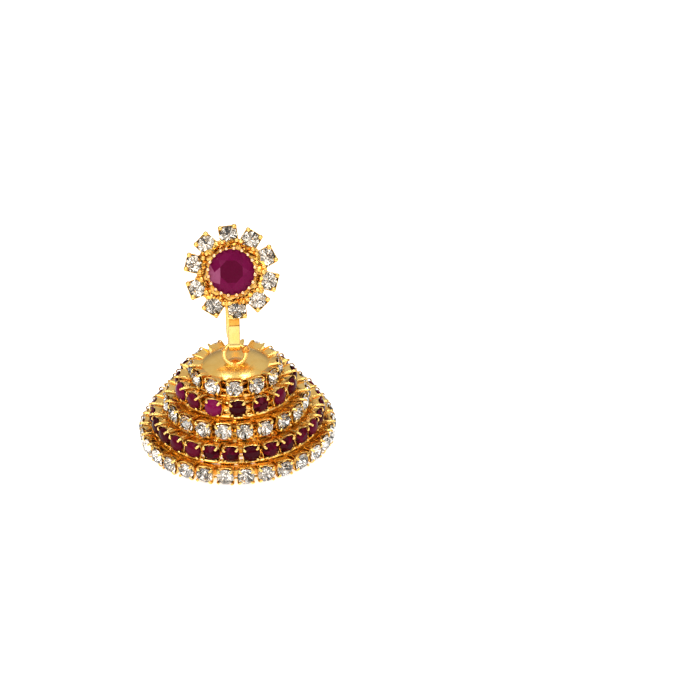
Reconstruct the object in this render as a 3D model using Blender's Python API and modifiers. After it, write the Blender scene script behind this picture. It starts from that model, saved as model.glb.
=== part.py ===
"""Jhumka earring: a flower stud whose flat hook carries a bell of five stepped stone rings.

Metres, +Z up. The earring faces -Y. The origin is the seat of the ear post, on the
pad's back face. The bell hangs upright, and the stud leans back from it.
"""

import math
from collections import namedtuple

import bmesh
import bpy
from mathutils import Matrix, Vector

# Clearances between pieces
SEAT_GAP = 0.0001
STONE_GAP = 0.00008
HOOK_PLAY = 0.0001

# Four-pronged square cups of the stone chains
CUP_WIDTH = 0.0021
CUP_DEPTH = 0.0018
CUP_BACK_SHARE = 0.6
PRONG_HEIGHT = 0.00038
PRONG_BASE_SHARE = 0.29
PRONG_TIP_INSET = 0.00008
PRONG_LEAN = 0.00012
CROWN_HEIGHT = 0.00034
CROWN_WIDTH = 0.00044

# Link band behind the cups and round support wire below them
BAND_THICKNESS = 0.0003
BAND_LIP = 0.0001
BAND_HEIGHT = 0.0006
WIRE_DIAMETER = 0.00035
WIRE_OUT = 0.00005
WIRE_SINK = 0.0001

# Bell
CAP_RADIUS = 0.0039
CAP_RISE = 0.00045
CAP_EDGE = 0.00025
CAP_BOSS_DEPTH = 0.00055
CAP_SIDES = 28
CAP_CURVE = 2.6
TOP_TIER_LEDGE = 0.00145

# Eye on the cap, which the hook passes through
EYE_WIRE = 0.00045
EYE_WIDTH = 0.00325
EYE_HEIGHT = 0.0021
EYE_BEAD_RADIUS = 0.0005
EYE_BEAD_DROP = 0.0008

# Stud
STUD_LEAN = math.radians(29)
PETAL_CIRCLE_RADIUS = 0.00468
PLATE_INSET = 0.00028
PLATE_RADIUS = PETAL_CIRCLE_RADIUS - PLATE_INSET
PLATE_THICKNESS = 0.0005
PLATE_SIDES = 28
PETAL_CUP_WIDTH = 0.0021
PETAL_CUP_DEPTH = 0.0018
PETAL_CUP_SINK = 0.0002
PETAL_WALL = 0.00012
PETAL_BACK_SHARE = 0.75
PETAL_POCKET = 0.0011
PETAL_CROWN = 0.00034
PETAL_GIRDLE = 0.00006
PETAL_STONE_SHARE = 0.97
PETAL_TABLE_SHARE = 0.55
PETAL_PAVILION_SHARE = 0.8
RUBY_RADIUS = 0.00275
RUBY_CROWN = 0.0009
RUBY_GIRDLE = 0.0001
RUBY_PAVILION = 0.0015
RUBY_TABLE_SHARE = 0.52
RUBY_SIDES = 16
CULET_SHARE = 0.06
BEZEL_BASE_SHARE = 0.8
BEZEL_WALL = 0.00022
BEZEL_STAND = 0.0006
BEZEL_SIDES = 40
BEZEL_FLOOR_INSET_SHARE = 0.8
CROWN_PRONGS = 20
CROWN_PRONG_RADIUS = 0.00017
CROWN_PRONG_HEIGHT = 0.0006
CROWN_PRONG_RISE_SHARE = 0.15
CROWN_PRONG_TIP_SHARE = 0.7

# Flat hook and post
STRIP_WIDTH = 0.0015
STRIP_THICKNESS = 0.00025
HOOK_DROP = 0.00885
HOOK_FRONT_LEG = 0.00215
HOOK_ARC_STEPS = 10
STRIP_PLATE_LAP = 0.0012
POST_RADIUS = 0.00045
POST_LENGTH = 0.008
PAD_RADIUS = 0.0021
PAD_THICKNESS = 0.0005

# Rings of the bell from the top. reach is how far a ring's faces stand out from those
# above, as a share of CUP_DEPTH. spare is room left under the ring above, and pitch the
# spacing of the cups, as shares of CUP_WIDTH. phase is a share of one pitch.
Tier = namedtuple("Tier", "name stone reach spare pitch wired phase")
TIERS = (
    Tier("tier_1_clear", "crystal", 0.00, 0.00, 1.33, False, 0.94),
    Tier("tier_2_ruby", "ruby", 0.97, 0.00, 1.42, True, 0.04),
    Tier("tier_3_clear", "crystal", 0.92, 0.09, 1.25, False, 0.35),
    Tier("tier_4_ruby", "ruby", 1.00, 0.15, 1.175, True, 0.63),
    Tier("tier_5_clear", "crystal", 0.81, 0.04, 1.20, False, 0.31),
)

# Petals clockwise from the top, in degrees: where each cup sits and how far it is
# twisted out of line.
Petal = namedtuple("Petal", "angle twist")
PETALS = (
    Petal(-3, -4),
    Petal(32, 2),
    Petal(68, -5),
    Petal(105, 2),
    Petal(139, -3),
    Petal(174, 3),
    Petal(210, 4),
    Petal(247, 5),
    Petal(285, 0),
    Petal(320, -6),
)

COLORS = {
    "gold": ((0.85, 0.50, 0.12, 1.0), 1.0, 0.22),
    "crystal": ((0.86, 0.86, 0.88, 1.0), 0.0, 0.05),
    "ruby": ((0.30, 0.01, 0.08, 1.0), 0.0, 0.06),
}

# Places along the stud's own axis, from the pad's back face forwards
PLATE_BACK = PAD_THICKNESS + SEAT_GAP
PLATE_FRONT = PLATE_BACK + PLATE_THICKNESS
CUP_FRONT = PLATE_FRONT - PETAL_CUP_SINK + PETAL_CUP_DEPTH
GIRDLE_FRONT = CUP_FRONT + BEZEL_STAND

# Hook: the inside of its turn clears the eye's wire at the strip's edges
EYE_RADIUS = (EYE_WIDTH - EYE_WIRE) / 2
HOOK_INNER = EYE_RADIUS - math.sqrt(
    (EYE_RADIUS - EYE_WIRE / 2 - HOOK_PLAY) ** 2 - (STRIP_WIDTH / 2) ** 2
)
BACK_LEG_FRONT = PLATE_BACK + PLATE_THICKNESS / 2 + STRIP_THICKNESS / 2
HOOK_CENTRE = Vector((0.0, -HOOK_DROP, BACK_LEG_FRONT + HOOK_INNER))
STUD_TURN = Matrix.Rotation(math.pi / 2 - STUD_LEAN, 4, "X")
HINGE = STUD_TURN @ HOOK_CENTRE

# Heights below the hinge
CAP_TOP = -(EYE_HEIGHT - EYE_WIRE / 2)
CAP_SEAT = CAP_TOP - CAP_RISE - CAP_EDGE


def clear_scene():
    for obj in list(bpy.data.objects):
        bpy.data.objects.remove(obj)


def make_collection(name, hidden):
    collection = bpy.data.collections.new(name)
    bpy.context.scene.collection.children.link(collection)
    collection.hide_render = hidden
    return collection


def make_material(name):
    color, metallic, roughness = COLORS[name]
    material = bpy.data.materials.new(name)
    material.use_nodes = True
    shader = material.node_tree.nodes["Principled BSDF"]
    shader.inputs["Base Color"].default_value = color
    shader.inputs["Metallic"].default_value = metallic
    shader.inputs["Roughness"].default_value = roughness
    material.diffuse_color = color
    return material


def add_object(name, shape, materials, parent, collection):
    """Turns a bmesh into a named object under a parent empty."""
    mesh = bpy.data.meshes.new(name)
    shape.to_mesh(mesh)
    shape.free()
    obj = bpy.data.objects.new(name, mesh)
    for material in materials:
        mesh.materials.append(material)
    obj.parent = parent
    collection.objects.link(obj)
    return obj


def add_helper(name, shape, materials, parent, collection):
    obj = add_object(name, shape, materials, parent, collection)
    obj.hide_render = True
    obj.display_type = "WIRE"
    return obj


def join(target, helper):
    modifier = target.modifiers.new("join_" + helper.name, "BOOLEAN")
    modifier.operation = "UNION"
    modifier.object = helper


def facing(shape, up):
    """The faces of a shape that look along its own Z axis."""
    return [face for face in shape.faces if face.normal.z * up > 0.99]


def inset(shape, faces, thickness, depth):
    """Insets faces and moves them out by depth, and returns the faces added round them."""
    bmesh.ops.recalc_face_normals(shape, faces=shape.faces)
    made = bmesh.ops.inset_individual(
        shape, faces=faces, thickness=thickness, depth=depth, use_even_offset=True
    )
    return made["faces"]


def square_cup(width, depth, back_share):
    """A tapered square cup facing its own +Z, with four leaning corner prongs.

    Returns the shape and the eight-sided face that is left between the prongs.
    """
    shape = bmesh.new()
    bmesh.ops.create_cube(shape, size=1.0, matrix=Matrix.Diagonal((width, width, depth, 1)))
    for vert in shape.verts:
        if vert.co.z < 0:
            vert.co.x *= back_share
            vert.co.y *= back_share
        vert.co.z -= depth / 2
    reach = width / 2 * (1 - PRONG_BASE_SHARE)
    for side_x in (-1, 1):
        for side_y in (-1, 1):
            shape.normal_update()
            front = facing(shape, 1)
            edges = {edge for face in front for edge in face.edges}
            verts = {vert for face in front for vert in face.verts}
            bmesh.ops.bisect_plane(
                shape,
                geom=front + list(edges) + list(verts),
                plane_co=(side_x * reach, side_y * reach, 0),
                plane_no=(side_x, side_y, 0),
            )
    shape.normal_update()
    front = facing(shape, 1)
    corners = [face for face in front if len(face.verts) == 3]
    middle = [face for face in front if len(face.verts) == 8]
    inset(shape, corners, PRONG_TIP_INSET, PRONG_HEIGHT)
    for face in corners:
        middle_of_tip = face.calc_center_median()
        lean = Vector((-middle_of_tip.x, -middle_of_tip.y, 0)).normalized() * PRONG_LEAN
        for vert in face.verts:
            vert.co += lean
    return shape, middle


def stone_cup():
    """A cup filled by a cut stone with eight crown facets and a table."""
    shape, middle = square_cup(CUP_WIDTH, CUP_DEPTH, CUP_BACK_SHARE)
    facets = inset(shape, middle, CROWN_WIDTH, CROWN_HEIGHT)
    for face in facets + middle:
        face.material_index = 1
    mesh = bpy.data.meshes.new("stone_cup")
    shape.to_mesh(mesh)
    shape.free()
    return mesh


def open_cup():
    """A cup with an eight-sided pocket for a loose stone."""
    shape, middle = square_cup(PETAL_CUP_WIDTH, PETAL_CUP_DEPTH, PETAL_BACK_SHARE)
    inset(shape, middle, PETAL_WALL, 0)
    inset(shape, middle, 0, -PETAL_POCKET)
    mesh = bpy.data.meshes.new("open_cup")
    shape.to_mesh(mesh)
    shape.free()
    return mesh


def cut_stone(sides, radius, table, girdle, crown, pavilion):
    """A cut stone on its own Z axis with the bottom of its girdle at zero."""
    shape = bmesh.new()
    bmesh.ops.create_cone(
        shape,
        cap_ends=True,
        segments=sides,
        radius1=radius * CULET_SHARE,
        radius2=radius,
        depth=pavilion,
        matrix=Matrix.Translation((0, 0, -pavilion / 2)) @ Matrix.Rotation(math.pi / sides, 4, "Z"),
    )
    shape.normal_update()
    top = facing(shape, 1)
    inset(shape, top, 0, girdle)
    inset(shape, top, (radius - table) * math.cos(math.pi / sides), crown)
    return shape


def add_copies(shape, mesh, matrices):
    for matrix in matrices:
        first = len(shape.verts)
        shape.from_mesh(mesh)
        shape.verts.ensure_lookup_table()
        bmesh.ops.transform(shape, matrix=matrix, verts=shape.verts[first:])


def tube_ring(radius, wire, around, sides, matrix):
    """A closed wire ring in its own XY plane, as a circle swept round another."""
    shape = bmesh.new()
    bmesh.ops.create_circle(
        shape,
        segments=sides,
        radius=wire / 2,
        matrix=Matrix.Translation((radius, 0, 0)) @ Matrix.Rotation(math.pi / 2, 4, "X"),
    )
    bmesh.ops.spin(
        shape,
        geom=shape.verts[:] + shape.edges[:],
        cent=(0, 0, 0),
        axis=(0, 0, 1),
        angle=2 * math.pi,
        steps=around,
        use_merge=True,
    )
    bmesh.ops.remove_doubles(shape, verts=shape.verts, dist=1e-7)
    bmesh.ops.recalc_face_normals(shape, faces=shape.faces)
    bmesh.ops.transform(shape, matrix=matrix, verts=shape.verts)
    return shape


def band_ring(inner, outer, height, around):
    """A flat-walled ring round its own Z axis, centred on zero."""
    shape = bmesh.new()
    bmesh.ops.create_grid(shape, x_segments=1, y_segments=1, size=0.5)
    for vert in shape.verts:
        across = inner if vert.co.x < 0 else outer
        vert.co = Vector((across, 0, math.copysign(height / 2, vert.co.y)))
    bmesh.ops.delete(shape, geom=shape.faces[:], context="FACES_ONLY")
    bmesh.ops.spin(
        shape,
        geom=shape.verts[:] + shape.edges[:],
        cent=(0, 0, 0),
        axis=(0, 0, 1),
        angle=2 * math.pi,
        steps=around,
        use_merge=True,
    )
    bmesh.ops.remove_doubles(shape, verts=shape.verts, dist=1e-7)
    bmesh.ops.recalc_face_normals(shape, faces=shape.faces)
    return shape


def wall_height(radius, across):
    """Half the height of a cup, at a distance from the axis, in a ring of that radius."""
    share = (across - radius + CUP_DEPTH) / CUP_DEPTH
    return CUP_WIDTH / 2 * (CUP_BACK_SHARE + (1 - CUP_BACK_SHARE) * min(max(share, 0), 1))


def tier_places():
    """Each ring's row with its face radius, the height of its middle below the hinge
    and its number of cups. Each ring seats on the sloping tops of the cups below it."""
    places = []
    radius = CAP_RADIUS + TOP_TIER_LEDGE
    height = CAP_SEAT - SEAT_GAP - wall_height(radius, CAP_RADIUS)
    for index, tier in enumerate(TIERS):
        if index:
            wired = TIERS[index - 1].wired
            under = WIRE_DIAMETER - WIRE_SINK if wired else 0
            edge = radius + (WIRE_OUT + WIRE_DIAMETER / 2 if wired else 0)
            radius += tier.reach * CUP_DEPTH
            height -= CUP_WIDTH / 2 + under + SEAT_GAP + wall_height(radius, edge)
            height -= tier.spare * CUP_WIDTH
        count = round(2 * math.pi * radius / (tier.pitch * CUP_WIDTH))
        places.append((tier, radius, height, count))
    return places


def cup_turns(tier, radius, count):
    """A matrix for each cup of a ring, its face outwards and its own +Y upright."""
    upright = Matrix(((1, 0, 0, 0), (0, 0, -1, 0), (0, 1, 0, 0), (0, 0, 0, 1)))
    for index in range(count):
        turn = 2 * math.pi * (index + tier.phase) / count
        yield Matrix.Rotation(turn, 4, "Z") @ Matrix.Translation((0, -radius, 0)) @ upright


def build_tier(place, cup, materials, parent, parts, helpers):
    tier, radius, height, count = place
    shape = bmesh.new()
    add_copies(shape, cup, cup_turns(tier, radius, count))
    ring = add_object(tier.name, shape, materials, parent, parts)
    ring.location.z = height
    back = radius - CUP_DEPTH
    half_turn = Matrix.Rotation(2 * math.pi * (tier.phase + 0.5) / count - math.pi / 2, 4, "Z")
    flat = math.cos(math.pi / count)
    inner = back - BAND_LIP
    band = band_ring(inner, (inner + BAND_THICKNESS) / flat, BAND_HEIGHT, count)
    bmesh.ops.transform(band, matrix=half_turn, verts=band.verts)
    helper = add_helper(tier.name + "_band", band, materials[:1], parent, helpers)
    helper.location.z = height
    join(ring, helper)
    if tier.wired:
        drop = CUP_WIDTH / 2 + WIRE_DIAMETER / 2 - WIRE_SINK
        wire = tube_ring(radius + WIRE_OUT, WIRE_DIAMETER, count, 5, half_turn)
        helper = add_helper(tier.name + "_wire", wire, materials[:1], parent, helpers)
        helper.location.z = height - drop
        join(ring, helper)


def cap_profile():
    """Half of the cap's section, from the top of the dome down its outside."""
    _, radius, _, count = tier_places()[0]
    boss = (radius - CUP_DEPTH - BAND_LIP) * math.cos(math.pi / count) - SEAT_GAP
    points = [(0.0, CAP_TOP)]
    for step in range(1, 4):
        across = step / 4
        points.append((CAP_RADIUS * across, CAP_TOP - CAP_RISE * across**CAP_CURVE))
    for step in range(4):
        turn = math.pi / 2 * step / 3
        across = CAP_RADIUS - CAP_EDGE * (1 - math.sin(turn))
        points.append((across, CAP_SEAT + CAP_EDGE * math.cos(turn)))
    points.append((boss, CAP_SEAT))
    points.append((boss, CAP_SEAT - CAP_BOSS_DEPTH))
    points.append((0.0, CAP_SEAT - CAP_BOSS_DEPTH))
    return points


def build_cap(gold, parent, parts, helpers):
    shape = bmesh.new()
    verts = [shape.verts.new((x, 0, z)) for x, z in cap_profile()]
    for first, second in zip(verts, verts[1:]):
        shape.edges.new((first, second))
    cap = add_object("bell_cap", shape, [gold], parent, parts)
    screw = cap.modifiers.new("turn", "SCREW")
    screw.steps = CAP_SIDES
    screw.render_steps = CAP_SIDES
    screw.use_merge_vertices = True
    screw.merge_threshold = 0.00001
    upright = Matrix.Translation((0, 0, -EYE_RADIUS)) @ Matrix.Rotation(math.pi / 2, 4, "X")
    eye = tube_ring(EYE_RADIUS, EYE_WIRE, 24, 8, upright)
    join(cap, add_helper("eye_ring", eye, [gold], parent, helpers))
    bead = bmesh.new()
    side = math.sqrt(EYE_RADIUS**2 - (EYE_RADIUS - EYE_BEAD_DROP) ** 2) + EYE_BEAD_RADIUS / 2
    bmesh.ops.create_uvsphere(
        bead,
        u_segments=10,
        v_segments=7,
        radius=EYE_BEAD_RADIUS,
        matrix=Matrix.Translation((side, 0, -EYE_BEAD_DROP)),
    )
    join(cap, add_helper("eye_bead", bead, [gold], parent, helpers))


def petal_turn(petal):
    """Places a petal cup on the stud's face, its own +Y pointing outwards."""
    place = Matrix.Rotation(-math.radians(petal.angle), 4, "Z")
    twist = Matrix.Rotation(-math.radians(petal.twist), 4, "Z")
    return place @ Matrix.Translation((0, PETAL_CIRCLE_RADIUS, CUP_FRONT)) @ twist


def plate_shape():
    shape = bmesh.new()
    bmesh.ops.create_cone(
        shape,
        cap_ends=True,
        segments=PLATE_SIDES,
        radius1=PLATE_RADIUS,
        radius2=PLATE_RADIUS,
        depth=PLATE_THICKNESS,
        matrix=Matrix.Translation((0, 0, (PLATE_BACK + PLATE_FRONT) / 2)),
    )
    return shape


def bezel_shape():
    """The centre stone's conical cup, standing on the plate."""
    rim = RUBY_RADIUS + STONE_GAP + BEZEL_WALL
    bottom = PLATE_FRONT - PETAL_CUP_SINK
    height = GIRDLE_FRONT - bottom
    pocket = RUBY_PAVILION + STONE_GAP
    shape = bmesh.new()
    bmesh.ops.create_cone(
        shape,
        cap_ends=True,
        segments=BEZEL_SIDES,
        radius1=rim * BEZEL_BASE_SHARE,
        radius2=rim,
        depth=height,
        matrix=Matrix.Translation((0, 0, bottom + height / 2)),
    )
    shape.normal_update()
    top = facing(shape, 1)
    inset(shape, top, BEZEL_WALL, 0)
    inset(shape, top, RUBY_RADIUS * BEZEL_FLOOR_INSET_SHARE, -pocket)
    return shape


def crown_prong_shape():
    """The ring of small upright prongs round the centre stone."""
    shape = bmesh.new()
    around = RUBY_RADIUS + STONE_GAP + BEZEL_WALL
    middle = GIRDLE_FRONT + CROWN_PRONG_HEIGHT * CROWN_PRONG_RISE_SHARE
    for index in range(CROWN_PRONGS):
        turn = 2 * math.pi * (index + 0.5) / CROWN_PRONGS
        bmesh.ops.create_cone(
            shape,
            cap_ends=True,
            segments=4,
            radius1=CROWN_PRONG_RADIUS,
            radius2=CROWN_PRONG_RADIUS * CROWN_PRONG_TIP_SHARE,
            depth=CROWN_PRONG_HEIGHT,
            matrix=Matrix.Rotation(turn, 4, "Z") @ Matrix.Translation((around, 0, middle)),
        )
    return shape


def hook_outline():
    """The hook's edge-on outline, as height above and distance before the stud's axis."""
    centre = HOOK_CENTRE
    outer = HOOK_INNER + STRIP_THICKNESS
    top_back = -PLATE_RADIUS + STRIP_PLATE_LAP
    top_front = centre.y + HOOK_FRONT_LEG
    turns = [math.pi * step / HOOK_ARC_STEPS for step in range(HOOK_ARC_STEPS + 1)]
    points = [(top_back, centre.z - outer)]
    points += [(centre.y - outer * math.sin(t), centre.z - outer * math.cos(t)) for t in turns]
    points += [(top_front, centre.z + outer), (top_front, centre.z + HOOK_INNER)]
    points += [
        (centre.y - HOOK_INNER * math.sin(t), centre.z - HOOK_INNER * math.cos(t)) for t in reversed(turns)
    ]
    points.append((top_back, centre.z - HOOK_INNER))
    return points


def hook_shape():
    """The flat strip bent into a J, as a filled outline given the strip's width."""
    curve = bpy.data.curves.new("hook_outline", "CURVE")
    curve.dimensions = "2D"
    curve.fill_mode = "BOTH"
    curve.extrude = STRIP_WIDTH / 2
    spline = curve.splines.new("POLY")
    outline = hook_outline()
    spline.points.add(len(outline) - 1)
    for point, (height, front) in zip(spline.points, outline):
        point.co = (height, front, 0, 1)
    spline.use_cyclic_u = True
    guide = bpy.data.objects.new("hook_outline", curve)
    bpy.context.scene.collection.objects.link(guide)
    bpy.context.view_layer.update()
    graph = bpy.context.evaluated_depsgraph_get()
    mesh = bpy.data.meshes.new_from_object(guide.evaluated_get(graph))
    bpy.data.objects.remove(guide)
    shape = bmesh.new()
    shape.from_mesh(mesh)
    bmesh.ops.remove_doubles(shape, verts=shape.verts, dist=1e-7)
    stand = Matrix(((0, 0, 1, 0), (1, 0, 0, 0), (0, 1, 0, 0), (0, 0, 0, 1)))
    bmesh.ops.transform(shape, matrix=stand, verts=shape.verts)
    bmesh.ops.recalc_face_normals(shape, faces=shape.faces)
    return shape


def build_setting(gold, parent, parts, helpers):
    """Petal cups, centre bezel, plate and hook, soldered into one piece."""
    setting = add_object("stud_setting", plate_shape(), [gold], parent, parts)
    cups = bmesh.new()
    add_copies(cups, open_cup(), [petal_turn(petal) for petal in PETALS])
    pieces = (
        ("petal_cups", cups),
        ("centre_bezel", bezel_shape()),
        ("crown_prongs", crown_prong_shape()),
        ("drop_hook", hook_shape()),
    )
    for name, shape in pieces:
        join(setting, add_helper(name, shape, [gold], parent, helpers))


def build_petal_stones(crystal, parent, parts):
    radius = (PETAL_CUP_WIDTH / 2 - PETAL_WALL - STONE_GAP) / math.cos(math.pi / 8)
    girdle = radius * PETAL_STONE_SHARE
    table = radius * PETAL_TABLE_SHARE
    pavilion = PETAL_POCKET * PETAL_PAVILION_SHARE
    for index, petal in enumerate(PETALS, 1):
        shape = cut_stone(8, girdle, table, PETAL_GIRDLE, PETAL_CROWN, pavilion)
        stone = add_object(f"petal_stone_{index:02d}", shape, [crystal], parent, parts)
        stone.matrix_local = petal_turn(petal)


def build_ruby(ruby, parent, parts):
    table = RUBY_RADIUS * RUBY_TABLE_SHARE
    shape = cut_stone(RUBY_SIDES, RUBY_RADIUS, table, RUBY_GIRDLE, RUBY_CROWN, RUBY_PAVILION)
    stone = add_object("centre_ruby", shape, [ruby], parent, parts)
    stone.location.z = GIRDLE_FRONT


def build_post(gold, parent, parts, helpers):
    """The plain post that goes through the ear, on its round pad."""
    pad = bmesh.new()
    bmesh.ops.create_cone(
        pad,
        cap_ends=True,
        segments=24,
        radius1=PAD_RADIUS,
        radius2=PAD_RADIUS,
        depth=PAD_THICKNESS,
        matrix=Matrix.Translation((0, 0, PAD_THICKNESS / 2)),
    )
    post = bmesh.new()
    sink = PAD_THICKNESS / 2
    bmesh.ops.create_cone(
        post,
        cap_ends=True,
        segments=12,
        radius1=POST_RADIUS,
        radius2=POST_RADIUS,
        depth=POST_LENGTH + sink,
        matrix=Matrix.Translation((0, 0, (sink - POST_LENGTH) / 2)),
    )
    piece = add_object("ear_post", pad, [gold], parent, parts)
    join(piece, add_helper("post_rod", post, [gold], parent, helpers))


def add_frame(name, matrix, collection):
    empty = bpy.data.objects.new(name, None)
    empty.empty_display_size = 0.002
    empty.matrix_world = matrix
    collection.objects.link(empty)
    return empty


def main():
    clear_scene()
    parts = make_collection("jhumka_earring", False)
    helpers = make_collection("joined_shapes", True)
    gold, crystal, ruby = (make_material(name) for name in ("gold", "crystal", "ruby"))

    stud = add_frame("stud_frame", STUD_TURN, parts)
    build_setting(gold, stud, parts, helpers)
    build_petal_stones(crystal, stud, parts)
    build_ruby(ruby, stud, parts)
    build_post(gold, stud, parts, helpers)

    bell = add_frame("bell_frame", Matrix.Translation(HINGE), parts)
    build_cap(gold, bell, parts, helpers)
    cup = stone_cup()
    stones = {"crystal": crystal, "ruby": ruby}
    for place in tier_places():
        build_tier(place, cup, [gold, stones[place[0].stone]], bell, parts, helpers)


main()
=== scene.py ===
"""Looks of the jhumka earring: gold cup chains, cut stones, a flower stud and a flat hook.

Shapes are worked out in millimetres in the frame of the CAD model, and turned to metres
when a piece is made. The bell's pieces ride on the body "bell" and the rest on "stud".
"""

import math
import random
from collections import namedtuple

import bmesh
import bpy
from mathutils import Matrix, Vector


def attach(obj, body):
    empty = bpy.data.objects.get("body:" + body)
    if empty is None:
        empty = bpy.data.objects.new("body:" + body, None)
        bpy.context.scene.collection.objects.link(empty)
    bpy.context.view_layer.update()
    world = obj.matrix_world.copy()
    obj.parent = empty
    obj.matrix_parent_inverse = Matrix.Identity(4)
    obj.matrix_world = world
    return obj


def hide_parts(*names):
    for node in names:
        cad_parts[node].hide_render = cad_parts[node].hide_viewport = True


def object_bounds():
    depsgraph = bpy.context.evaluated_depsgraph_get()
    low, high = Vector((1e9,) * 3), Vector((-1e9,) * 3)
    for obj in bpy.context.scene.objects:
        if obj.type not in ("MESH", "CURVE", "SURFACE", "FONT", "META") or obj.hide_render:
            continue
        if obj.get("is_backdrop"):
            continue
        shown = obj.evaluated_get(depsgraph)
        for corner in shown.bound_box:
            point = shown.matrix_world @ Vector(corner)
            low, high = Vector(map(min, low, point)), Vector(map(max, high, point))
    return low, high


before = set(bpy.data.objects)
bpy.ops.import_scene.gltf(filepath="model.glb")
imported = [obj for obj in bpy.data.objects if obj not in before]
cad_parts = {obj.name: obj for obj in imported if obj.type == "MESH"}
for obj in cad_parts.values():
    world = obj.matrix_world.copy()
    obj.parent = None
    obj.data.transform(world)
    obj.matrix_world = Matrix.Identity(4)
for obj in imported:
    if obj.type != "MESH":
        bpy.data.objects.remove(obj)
cad_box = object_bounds()

MM = 0.001
SEED = 7

# Camera, as fitted to the photograph
PIXELS_PER_MM = 8.0
PICTURE = 700
SENSOR = 36.0
CAMERA_DISTANCE = 180.0
CAMERA_RISE = math.radians(29)
CAMERA_TURN = math.radians(4.5)
HINGE_IN_VIEW = Vector((-14.4, 0.0, 0.9))

# Places in the CAD model
HINGE = Vector((0.0, -5.6942, -6.9623))
STUD_TURN = Matrix.Rotation(math.radians(61), 4, "X")
BELL_TURN = Matrix.Translation(HINGE)
FLOOR = -19.98

# Pieces turn sharp where their faces meet at more than this, in degrees
CREASE = 32

# Chain cups
CUP_HALF = 1.05
CUP_DEPTH = 1.8
CUP_BACK_HALF = 0.63
CUP_BACK_WIDE = 0.96
CUP_SIDE_GAP = 0.05
CUP_WALL = 0.1
CUP_EDGE = 0.03
CUP_SCALLOP = 0.2
# How far a cup is out of true: in turn, lean, roll and yaw, and outwards and upwards
CUP_TURN_PLAY = 0.006
CUP_LEAN_PLAY = 0.035
CUP_ROLL_PLAY = 0.05
CUP_YAW_PLAY = 0.04
CUP_OUT_PLAY = (-0.04, 0.03)
CUP_UP_PLAY = 0.03

# Cuts of the stones. Floor is the share of the radius where the back's inner facets start.
Cut = namedtuple("Cut", "radius table crown girdle pavilion floor")
CLEAR_CUT = Cut(1.06, 0.54, 0.42, 0.05, 0.9, 0.32)
RUBY_CUT = Cut(1.06, 0.42, 0.54, 0.05, 0.9, 0.32)
PETAL_CUT = Cut(1.1, 0.54, 0.42, 0.05, 0.9, 0.32)
CENTRE_CUT = Cut(2.86, 0.52, 0.9, 0.1, 1.5, 0.3)
# How far out the star points and the back's outer facets reach, and how the back bends
STAR_SHARE = 0.45
LOWER_SHARE = 0.72
LOWER_BEND = 0.03
# A stone's seat above the cup's rim, and how far it is tipped and turned
STONE_SEAT = 0.18
STONE_TIP = 0.05
STONE_SPIN = 0.785
# Domed stones: height, its spread, depth behind and share of the red stones that are cut
RUBY_DOME = 0.6
DOME_SPREAD = (0.9, 1.1)
DOME_EDGE = 0.06
DOME_BACK = 0.6
RUBY_SEAT = 0.08
RUBY_CUT_SHARE = 0.35
RUBY_CLAW_LIFT = 0.06
BIG_DOME_WIDER = 1.1
BIG_DOME_HIGHER = 1.35

# Claws, as places out from the cup's middle and above its rim, with half width and thickness
Claw = namedtuple("Claw", "out above width thickness")
CLAW = (
    Claw(1.16, -1.00, 0.13, 0.06),
    Claw(1.28, -0.45, 0.15, 0.07),
    Claw(1.35, -0.02, 0.155, 0.075),
    Claw(1.35, 0.18, 0.155, 0.08),
    Claw(1.29, 0.32, 0.15, 0.08),
    Claw(1.18, 0.41, 0.15, 0.08),
    Claw(1.04, 0.43, 0.155, 0.085),
    Claw(0.92, 0.39, 0.14, 0.075),
    Claw(0.84, 0.34, 0.07, 0.045),
)
CLAW_SIDES = 10
# Where a claw that stands up is, out from the cup's middle, and how much of that it moves
# out and up
PROUD_OUT = 1.36
PROUD_MOVES_OUT = 0.75
PROUD_MOVES_UP = 0.8
PROUD_CLAW_SHARE = 0.1
PROUD_BY = (0.2, 0.45)
LEVEL_BY = (0.0, 0.08)
CLAW_TURN_PLAY = 0.07
CLAW_PLAY = (-0.03, 0.02)

# Rings of the bell: face radius, height in the model, number of cups, share of a pitch
# turned and wire below (0 for none)
Tier = namedtuple("Tier", "name stone radius height count phase wire")
TIERS = (
    Tier("tier_1_clear", "clear", 5.35, -10.349, 12, 0.94, 0.20),
    Tier("tier_2_ruby", "ruby", 7.096, -12.142, 15, 0.04, 0.35),
    Tier("tier_3_clear", "clear", 8.752, -14.447, 21, 0.35, 0.0),
    Tier("tier_4_ruby", "ruby", 10.552, -16.542, 27, 0.63, 0.35),
    Tier("tier_5_clear", "clear", 12.01, -18.788, 30, 0.31, 0.0),
)
# The band behind a ring's cups, and the apron that closes the step down to the next. The
# fourth ring's apron is left open at the front, where the cups' gaps let light through.
BAND_LOW = -1.0
BAND_HIGH = 0.45
BAND_THICK = 0.14
BAND_INSET = 0.1
APRON_LAP = 0.08
APRON_EDGE = 0.06
OPEN_APRON = "tier_4_ruby"
OPEN_FROM = math.radians(-27)
OPEN_TO = math.radians(11)
# The skirt close behind a ring's faces, from its cups down to the cups of the next
SKIRT_BEHIND = 0.3
SKIRT_THICK = 0.12
SKIRT_LAP = 0.08
SKIRT_SINK = 0.04
# Links between neighbouring cups, as places out from the ring's back and above its middle
LINKS = ((0.42, 0.0), (1.25, -0.55))
LINK_HALF = 0.62
LINK_ENDS = (-1, -0.5, 0, 0.5, 1)
LINK_RADII = [0.1, 0.14, 0.16, 0.14, 0.1]
# Points round a full turn of a band or a wire
ROUND_STEPS = 144
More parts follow.
